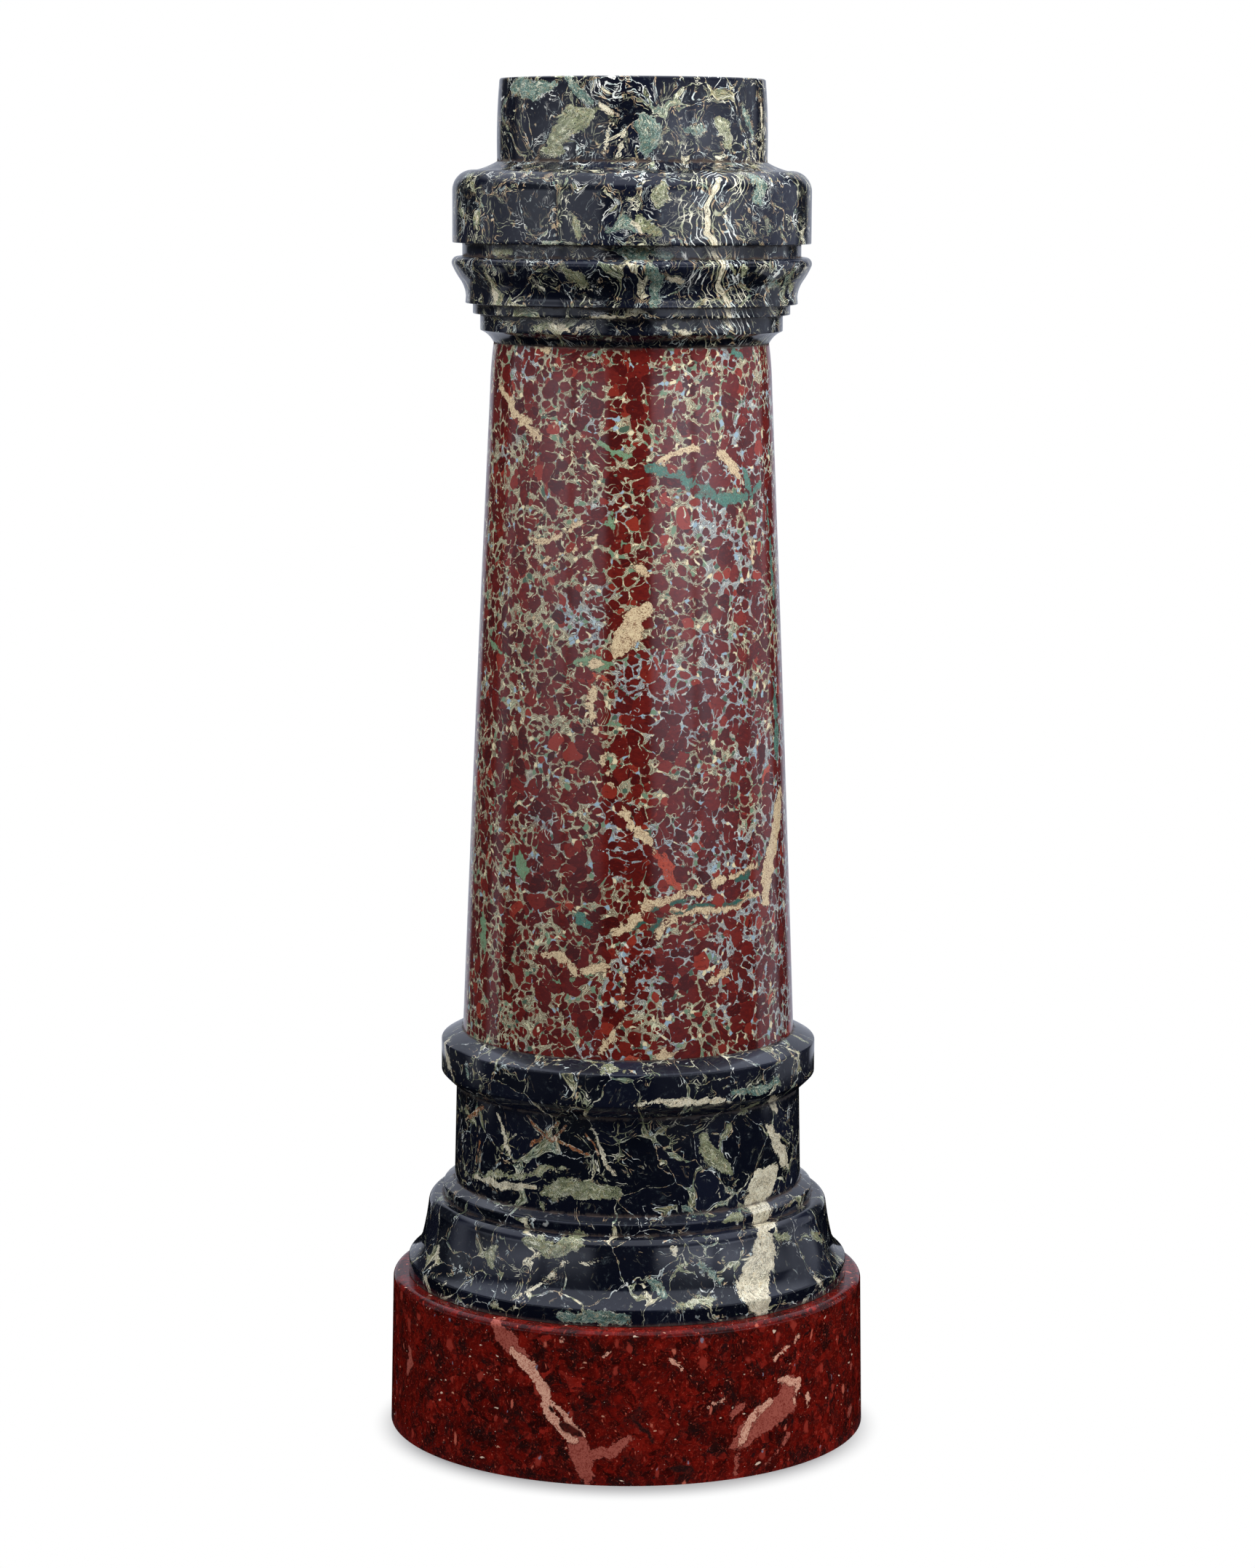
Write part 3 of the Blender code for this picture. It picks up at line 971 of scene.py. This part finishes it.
# Laid veins and patches, each with its half width in mm and then its course:
# angles from the front in degrees, positive to the right, and heights in mm
SHAFT_VEINS = {
    "cream": {
        "streak under the head": (6, (-67, 937), (-50, 912), (-38, 895)),
        "chip at the head": (3, (-41, 971), (-35, 968)),
        "bow over the teal band": (3.4, (12, 873), (19, 881), (28, 885)),
        "bow over the teal band, right": (4.5, (33, 883), (42, 875), (47, 863)),
        "large chip": (12, (5, 752), (0, 732), (-4, 712)),
        "crescent": (2, (-18, 699), (-11, 706)),
        "chip under the middle": (5.5, (-2, 582), (1, 563)),
        "top of the slanting vein": (3.5, (3, 560), (8, 542)),
        "trunk on the right": (9, (73, 582), (66, 545), (58, 515), (58, 485)),
        "upper branch": (3.5, (56, 524), (36, 512), (20, 504)),
        "upper branch, left end": (5.5, (20, 506), (8, 494), (-5, 468)),
        "lower branch": (4.5, (53, 496), (28, 488), (16, 487), (9, 465)),
        "leaf": (4, (-34, 452), (-20, 447), (-19, 434), (-7, 441)),
        "standing vein": (1.5, (-3, 441), (-1, 425), (-2, 406)),
        "foot vein": (2.6, (-2, 394), (-6, 382), (-11, 362)),
        "chip at the foot": (3.5, (11, 366), (15, 367)),
        "chip low on the right": (2.5, (29, 425), (36, 434)),
        "thin vein down the middle": (1.5, (-12, 697), (-14, 660), (-9, 612), (-6, 594)),
        "streak on the left": (1.5, (-52, 722), (-38, 741)),
        "streak on the right": (1.5, (53, 807), (52, 782)),
        "pale chip": (2.5, (1, 783), (5, 783)),
        "wavy layer": (1.5, (-43, 785), (-24, 799), (-10, 815)),
        "lower wavy layer": (1.6, (-51, 807), (-34, 807), (-20, 820)),
    },
    "teal": {
        "band": (4.6, (5, 870), (20, 864), (34, 845), (48, 843), (61, 851)),
        "branch of the band": (4, (53, 848), (50, 868)),
        "streak at the edge": (2.3, (68, 831), (70, 785), (74, 732)),
        "lower streak at the edge": (3.5, (68, 679), (70, 640), (70, 610)),
        "patch low on the left": (4.5, (-19, 488), (-12, 472)),
        "patch high on the right": (2.8, (42, 971), (52, 965)),
    },
    "sage": {
        "vein left of the teal band": (2.6, (-12, 891), (-5, 882), (4, 877)),
        "patch under the large chip": (5, (-20, 701), (-6, 707)),
        "low patch at the left edge": (5, (-63, 471), (-60, 440)),
        "patch on the left": (6.5, (-42, 532), (-40, 512)),
        "layer under the leaf": (1.8, (-27, 425), (-12, 434)),
        "hook": (1, (-6, 833), (-8, 822), (-2, 815)),
        "patch at the left edge": (3.6, (-65, 714), (-56, 704)),
    },
    "orange": {
        "slanting vein": (5, (7, 545), (13, 528), (19, 508)),
        "lens on the right": (2.8, (55, 595), (62, 607)),
        "chip at the foot": (4.2, (-1, 362), (3, 363)),
        "edge of the standing vein": (1.5, (-2, 422), (-2, 411)),
        "spot under the sage patch": (2.8, (-14, 696), (-9, 691)),
        "sliver on the right": (1.6, (55, 394), (60, 405)),
    },
    "dark_teal": {
        "line over the upper branch": (2.4, (53, 520), (40, 510)),
        "line under the upper branch": (1.6, (22, 500), (11, 492), (1, 475)),
        "line over the lower branch": (1.3, (47, 494), (24, 493), (12, 482), (6, 469)),
        "line in the trunk": (1, (53, 529), (55, 515)),
    },
}

CAPITAL_VEINS = {
    "stripe": {
        "bright stripe": (
            2.7, (44, 1180), (30, 1120), (24, 1090), (24, 1068), (29, 1048), (29, 1028), (34, 1005),
            (42, 986),
        ),
    },
    "cream": {
        "curl in the band": (1.6, (-1, 1077), (4, 1070)),
        "left vein": (1.2, (-57, 1082), (-58, 1061)),
        "left lip": (1.8, (-54, 1039), (-54, 1012), (-56, 1000)),
        "fillet": (1.8, (-29, 991), (-22, 985), (-16, 991)),
        "fillet, middle": (1.3, (10, 990), (22, 984)),
        "upper fillet": (1.3, (-16, 1000), (-4, 999)),
        "neck wedge": (3, (-15, 1177), (-5, 1167)),
        "neck line": (1.3, (-9, 1162), (-11, 1137)),
        "neck line, right": (1.3, (-2, 1157), (-6, 1131)),
        "neck edge": (1.7, (69, 1187), (72, 1155)),
        "wave, middle": (1.2, (-15, 1018), (-9, 1027)),
        "wave, right": (1.4, (12, 1029), (18, 1027)),
    },
    "olive": {
        "band": (7.5, (11, 1112), (9, 1092)),
        "band, left": (3, (-18, 1083), (-17, 1063)),
        "round the curl": (4.8, (1, 1080), (9, 1070)),
        "wave": (5.5, (-22, 1036), (-15, 1022)),
        "wave, left": (5, (-55, 1036), (-51, 1004)),
        "wave, right": (3, (38, 1042), (39, 1032)),
        "neck": (10, (-36, 1146), (-17, 1170)),
        "foot of the neck": (5, (-39, 1138), (-30, 1137)),
        "neck, right": (6, (39, 1169), (44, 1138)),
        "neck, left": (2.5, (-71, 1168), (-65, 1156)),
        "recess": (3.8, (-53, 1053), (-43, 1053)),
        "band, left edge": (3, (-63, 1112), (-58, 1103)),
        "by the left vein": (2.6, (-56, 1090), (-58, 1068)),
        "lower fillets": (2.4, (-39, 989), (-30, 993)),
        "wave, right end": (2.4, (63, 1027), (73, 1019)),
    },
    "green": {
        "neck": (10, (3, 1163), (8, 1150), (6, 1137)),
        "neck streak": (3.8, (-30, 1198), (-18, 1179)),
        "neck, left": (8, (-63, 1193), (-48, 1189), (-35, 1192)),
        "neck, right": (4, (53, 1173), (63, 1150)),
        "neck, middle right": (2.6, (21, 1154), (32, 1158)),
        "bow in the band": (4, (-9, 1070), (-4, 1079), (1, 1067)),
        "band, right": (6, (41, 1116), (46, 1108), (42, 1097)),
        "swirl in the band": (2.4, (46, 1082), (49, 1074), (47, 1066)),
        "recess": (4, (-4, 1053), (13, 1052)),
        "wave": (6, (4, 1046), (8, 1028), (7, 1007)),
        "wave, right": (2.2, (52, 1028), (58, 1021)),
    },
    "rust": {},
}

BASE_VEINS = {
    "stripe": {},
    "cream": {
        "end of the ring": (3.8, (-79, 353), (-68, 327)),
        "big patch, arm": (7, (53, 290), (61, 265), (66, 246)),
        "big patch, dado": (15, (58, 248), (48, 233), (43, 206)),
        "big patch, bell": (15.5, (43, 205), (40, 180), (35, 160), (36, 140)),
        "big patch, fillet": (6, (37, 142), (36, 134)),
        "foot of the ring": (2.4, (2, 326), (19, 327), (32, 322)),
        "dado, left": (3.4, (-60, 240), (-42, 239), (-31, 246)),
        "dado, right": (4.8, (49, 320), (59, 302)),
        "bell, left": (3.2, (-65, 176), (-65, 163)),
        "thin vein in the dado": (1.3, (-12, 302), (-4, 260)),
        "thin vein, left": (1.7, (-48, 304), (-42, 271), (-39, 261)),
        "foot, right": (3, (61, 147), (59, 153)),
        "step": (2.3, (13, 204), (14, 196)),
        "line in the bell": (1.2, (-30, 150), (-18, 184), (-9, 189)),
    },
    "olive": {
        "long lens in the dado": (7, (-29, 242), (-16, 248), (-1, 244)),
        "tail of the lens": (2, (-29, 234), (-28, 226)),
        "dado": (9, (25, 293), (29, 270), (34, 255)),
        "dado, upper right": (3.5, (40, 305), (46, 317)),
        "dado, left end": (4, (-70, 296), (-61, 288)),
        "dado, left": (2.4, (-69, 236), (-42, 250), (-21, 264)),
        "ring": (4, (-9, 353), (-4, 354)),
        "ring, right end": (2.4, (78, 359), (78, 352)),
        "swirl on the step": (7, (-29, 202), (-20, 199), (-12, 207)),
        "step, right": (3.2, (31, 218), (38, 218)),
        "bell, right": (4.5, (46, 199), (53, 190)),
        "bell, right end": (4.2, (65, 192), (72, 176)),
        "bell, left": (4.6, (-38, 193), (-42, 181), (-40, 171)),
        "fillet": (3.6, (-37, 147), (-34, 141)),
        "foot": (3, (13, 152), (25, 160)),
    },
    "green": {
        "fillet": (6.5, (-18, 142), (-9, 144), (0, 141)),
        "ring": (3.8, (33, 331), (51, 333)),
        "ring, left": (2.8, (-58, 345), (-56, 335)),
        "bell": (3.6, (5, 174), (11, 158)),
        "bell, right": (3, (21, 185), (27, 167)),
        "foot of the dado": (2.5, (17, 231), (24, 222)),
    },
    "rust": {
        "web": (1.6, (-35, 305), (-25, 286), (-19, 301)),
        "web, middle": (1.4, (-34, 276), (-22, 303)),
        "web, right": (1.3, (-24, 287), (-12, 274)),
        "left vein": (2.4, (-69, 285), (-55, 304)),
        "thin vein": (1.3, (-56, 280), (-60, 250)),
        "thin vein, middle": (1.2, (-14, 296), (-9, 277)),
    },
}

PLINTH_VEINS = {
    "salmon": {
        "head of the long vein": (8, (-33, 134), (-29, 121), (-24, 110)),
        "foot of the long vein": (9.5, (-12, 44), (-10, 24), (-9, 2)),
        "side branch": (5.6, (-9, 24), (-4, 27), (1, 43)),
        "right patch": (12.5, (43, 79), (41, 60), (33, 48), (26, 32)),
        "left patch": (4.4, (-66, 90), (-64, 76), (-66, 59)),
        "chip": (3.8, (25, 56), (29, 64)),
        "thin line": (1.6, (27, 25), (26, 1)),
        "thin line, right": (1.2, (43, 38), (34, 6)),
        "chip at the edge": (2.2, (70, 67), (71, 62)),
        "lower chip at the edge": (2.6, (71, 31), (67, 21)),
    },
    "cream": {
        "long vein": (6.2, (-27, 114), (-22, 94), (-19, 74), (-18, 58), (-12, 38)),
        "beside the long vein": (2, (-17, 75), (-13, 56), (-10, 44)),
        "rim of the right patch": (3.3, (39, 80), (45, 75), (43, 57)),
        "tail of the right patch": (3.2, (48, 65), (48, 53)),
        "heart of the right patch": (3.5, (37, 66), (30, 50), (27, 30)),
        "chip": (1.9, (37, 102), (42, 107)),
        "upper chip": (1.7, (44, 110), (46, 116)),
        "left chip": (1.9, (-16, 126), (-14, 130)),
        "thin line": (1.1, (19, 69), (25, 76)),
        "fleck": (1.8, (10, 111), (13, 100)),
        "fleck, middle": (1.3, (-5, 116), (-3, 120)),
    },
    "dark": {
        "hole": (4.2, (-15, 53), (-11, 45)),
        "hole in the long vein": (2.2, (-18, 68), (-17, 62)),
        "crack": (1.4, (3, 76), (2, 60), (6, 37)),
        "shade": (3.8, (11, 14), (16, 9)),
    },
}


class COLUMN_OT_plinth(bpy.types.Operator):
    """Turn the plain drum of deep red scagliola that the column stands on"""

    bl_idname = "column.plinth"
    bl_label = "Plinth"

    def execute(self, context):
        stone = red_marble()
        turned_piece("plinth_drum", "plinth", plinth_outline(), stone, PLINTH_VEINS)
        return {"FINISHED"}


class COLUMN_OT_base(bpy.types.Operator):
    """Turn the moulded base in black and green scagliola"""

    bl_idname = "column.base"
    bl_label = "Base"

    def execute(self, context):
        stone = black_marble("black and green scagliola", 0.0, 0.38, 0.25)
        turned_piece("moulded_base", "base", base_outline(), stone, BASE_VEINS)
        return {"FINISHED"}


class COLUMN_OT_shaft(bpy.types.Operator):
    """Turn the tapered shaft in red breccia scagliola"""

    bl_idname = "column.shaft"
    bl_label = "Shaft"

    def execute(self, context):
        stone = red_breccia()
        turned_piece("tapered_shaft", "shaft", shaft_outline(), stone, SHAFT_VEINS)
        return {"FINISHED"}


class COLUMN_OT_capital(bpy.types.Operator):
    """Turn the moulded capital in black and green scagliola"""

    bl_idname = "column.capital"
    bl_label = "Capital"

    def execute(self, context):
        stone = black_marble("misty black and green scagliola", -0.03, 0.5, 0.32)
        outline = capital_outline()
        turned_piece("moulded_capital", "capital", outline, stone, CAPITAL_VEINS)
        return {"FINISHED"}


# Camera, as the photograph was taken
CAMERA_PLACE = (-1.6 * MM, -3600.6 * MM, 1110.3 * MM)
CAMERA_TILT = 8.381
CAMERA_ROLL = 0.27
CAMERA_LENS = 93.62
CAMERA_SENSOR = 36.0

# Soft boxes and dark screens round the column, as the polish mirrors them.
# Each stop is an angle from the camera's side, positive to its right, and a brightness.
STUDIO_RING = (
    (-180, 0.28), (-155, 0.28), (-149, 0.02), (-119, 0.02), (-111, 0.2), (-90, 0.4), (-60, 0.95),
    (-52, 0.92), (-49, 0.46), (-46, 0.48), (-43, 0.84), (-22, 0.74), (-17, 0.03), (0, 0.02), (14, 0.03), (19, 1.05),
    (40, 1.6), (47, 1.5), (49, 0.8), (52, 0.85), (56, 1.55), (66, 1.4), (82, 0.8), (100, 0.45),
    (110, 0.3), (127, 0.28), (134, 0.02), (149, 0.02), (155, 0.28), (180, 0.28),
)

# How far in front of the column's axis the painted shade on the floor is centred
SHADE_SHIFT = 26.0 * MM

# How bright the soft boxes are up and down, by the angle above the horizon
BOX_FOOT = -20.0
BOX_HEAD = 10.0
BOX_FALL = (
    (-20, 0.0), (-16, 0.0), (-13, 0.04), (-8, 0.04), (-5.5, 0.2), (-3, 0.42), (-1, 0.58), (1.6, 0.76),
    (2.6, 0.7), (4, 0.48), (6, 0.4), (10, 0.12),
)


def studio_world():
    world = bpy.data.worlds.new("studio")
    bpy.context.scene.world = world
    world.use_nodes = True
    tree = world.node_tree
    tree.nodes.clear()
    w = Wiring(tree)
    direction = w.add("ShaderNodeTexCoord").outputs["Generated"]
    parts = w.add("ShaderNodeSeparateXYZ")
    w.feed(parts.inputs[0], direction)
    angle = w.math("ARCTAN2", parts.outputs[0], w.times(parts.outputs[1], -1.0))
    share = w.span(angle, -math.pi, math.pi)
    ring = w.ramp(share, tuple(((stop + 180.0) / 360.0, level) for stop, level in STUDIO_RING))
    height = parts.outputs[2]
    elevation = w.span(w.math("ARCSINE", height), math.radians(BOX_FOOT), math.radians(BOX_HEAD))
    fall = w.ramp(elevation, tuple(
        ((stop - BOX_FOOT) / (BOX_HEAD - BOX_FOOT), level) for stop, level in BOX_FALL
    ))
    behind = w.step(w.math("ABSOLUTE", angle), math.radians(98.0), math.radians(108.0))
    fall = w.blend(behind, fall, WHITE)
    ring = w.blend(1.0, ring, fall, "MULTIPLY")
    overhead = w.step(height, math.sin(math.radians(26.0)), math.sin(math.radians(42.0)))
    light = w.blend(overhead, ring, grey(0.7))
    light = w.blend(1.0, light, (0.85, 0.91, 1.08, 1.0), "MULTIPLY")
    soft = w.add("ShaderNodeBackground")
    w.feed(soft.inputs["Color"], light)
    soft.inputs["Strength"].default_value = bpy.context.scene.stone_finish.haze
    white = w.add("ShaderNodeBackground")
    white.inputs["Color"].default_value = WHITE
    mixed = w.add("ShaderNodeMixShader")
    w.feed(mixed.inputs[0], w.add("ShaderNodeLightPath").outputs["Is Camera Ray"])
    w.feed(mixed.inputs[1], soft.outputs[0])
    w.feed(mixed.inputs[2], white.outputs[0])
    w.feed(w.add("ShaderNodeOutputWorld").inputs[0], mixed.outputs[0])


def floor_material():
    """White paper that glows, but for a painted grey shade under the foot, deeper in front of it, where the paper
    turns dark grey and matt.
    """
    material = bpy.data.materials.new("studio floor")
    material.use_nodes = True
    tree = material.node_tree
    tree.nodes.clear()
    w = Wiring(tree)
    position = w.add("ShaderNodeTexCoord").outputs["Object"]
    distance = w.vector("LENGTH", w.shifted(position, (0.0, SHADE_SHIFT, 0.0)))
    # Painted shade: inside this ring the floor is dark grey matt paper that the lights fall on, instead of glowing
    # white
    painted_shade_edge = w.step(distance, 0.188, 0.232)
    ray = w.add("ShaderNodeLightPath").outputs
    mirrored = ray["Is Glossy Ray"]
    matt = w.add("ShaderNodeBsdfDiffuse")
    w.feed(matt.inputs["Color"], w.blend(mirrored, (0.26, 0.255, 0.245, 1.0), (0.03, 0.03, 0.035, 1.0)))
    paper = w.add("ShaderNodeEmission")
    paper.inputs["Color"].default_value = WHITE
    unseen = w.math("MULTIPLY_ADD", ray["Is Diffuse Ray"], 0.55, mirrored)
    w.feed(paper.inputs["Strength"], w.minus(1.0, unseen))
    mixed = w.add("ShaderNodeMixShader")
    w.feed(mixed.inputs[0], painted_shade_edge)
    w.feed(mixed.inputs[1], matt.outputs[0])
    w.feed(mixed.inputs[2], paper.outputs[0])
    w.feed(w.add("ShaderNodeOutputMaterial").inputs[0], mixed.outputs[0])
    return material


def studio_floor():
    shape = bmesh.new()
    bmesh.ops.create_circle(shape, cap_ends=True, segments=96, radius=1.6)
    mesh = bpy.data.meshes.new("floor")
    shape.to_mesh(mesh)
    shape.free()
    mesh.materials.append(floor_material())
    floor = bpy.data.objects.new("floor", mesh)
    bpy.context.scene.collection.objects.link(floor)


# The two soft lights above, as name, place in metres and watts, and the point that both are aimed at
SOFT_LIGHTS = (("left fill", (-1.0, -0.75, 2.0), 33.0), ("right fill", (1.03, -0.7, 1.97), 50.0))
LIGHT_AIM = (0.0, 0.0, 0.95)
LIGHT_SIZE = 0.8


def soft_light(name, place, watts):
    """A square light that lights the column, but isn't mirrored in its polish."""
    lamp = bpy.data.lights.new(name, "AREA")
    lamp.shape = "RECTANGLE"
    lamp.size = LIGHT_SIZE
    lamp.size_y = LIGHT_SIZE
    lamp.energy = watts
    light = bpy.data.objects.new(name, lamp)
    light.location = place
    light.rotation_euler = (Vector(LIGHT_AIM) - Vector(place)).to_track_quat("-Z", "Y").to_euler()
    light.visible_camera = False
    light.visible_glossy = False
    bpy.context.scene.collection.objects.link(light)


def studio_camera():
    data = bpy.data.cameras.new("camera")
    data.sensor_width = CAMERA_SENSOR
    data.lens = CAMERA_LENS
    data.clip_start = 0.1
    data.clip_end = 50.0
    camera = bpy.data.objects.new("camera", data)
    camera.location = CAMERA_PLACE
    tilt = Euler((math.radians(90.0 - CAMERA_TILT), 0.0, 0.0)).to_matrix()
    roll = Euler((0.0, 0.0, math.radians(CAMERA_ROLL))).to_matrix()
    camera.rotation_euler = (tilt @ roll).to_euler()
    bpy.context.scene.collection.objects.link(camera)
    bpy.context.scene.camera = camera


class COLUMN_OT_studio(bpy.types.Operator):
    """Set up the pale floor, the soft light and the camera"""

    bl_idname = "column.studio"
    bl_label = "Studio"

    def execute(self, context):
        studio_world()
        studio_floor()
        for name, place, watts in SOFT_LIGHTS:
            soft_light(name, place, watts)
        studio_camera()
        context.scene.view_settings.view_transform = "Standard"
        return {"FINISHED"}


class COLUMN_PT_panel(bpy.types.Panel):
    """The column's operators and settings"""

    bl_idname = "COLUMN_PT_panel"
    bl_label = "Scagliola Column"
    bl_space_type = "VIEW_3D"
    bl_region_type = "UI"
    bl_category = "Column"

    def draw(self, context):
        for settings in (context.scene.column_sizes, context.scene.stone_finish):
            for name in settings.__annotations__:
                self.layout.prop(settings, name)
        for operator in OPERATORS:
            self.layout.operator(operator.bl_idname)


OPERATORS = (COLUMN_OT_plinth, COLUMN_OT_base, COLUMN_OT_shaft, COLUMN_OT_capital, COLUMN_OT_studio)
CLASSES = (ColumnSizes, StoneFinish, *OPERATORS, COLUMN_PT_panel)


def register():
    for each in CLASSES:
        bpy.utils.register_class(each)
    bpy.types.Scene.column_sizes = bpy.props.PointerProperty(type=ColumnSizes)
    bpy.types.Scene.stone_finish = bpy.props.PointerProperty(type=StoneFinish)


def unregister():
    del bpy.types.Scene.stone_finish
    del bpy.types.Scene.column_sizes
    for each in reversed(CLASSES):
        bpy.utils.unregister_class(each)


def main():
    register()
    bpy.ops.column.plinth()
    bpy.ops.column.base()
    bpy.ops.column.shaft()
    bpy.ops.column.capital()
    bpy.ops.column.studio()


if __name__ == "__main__":
    main()
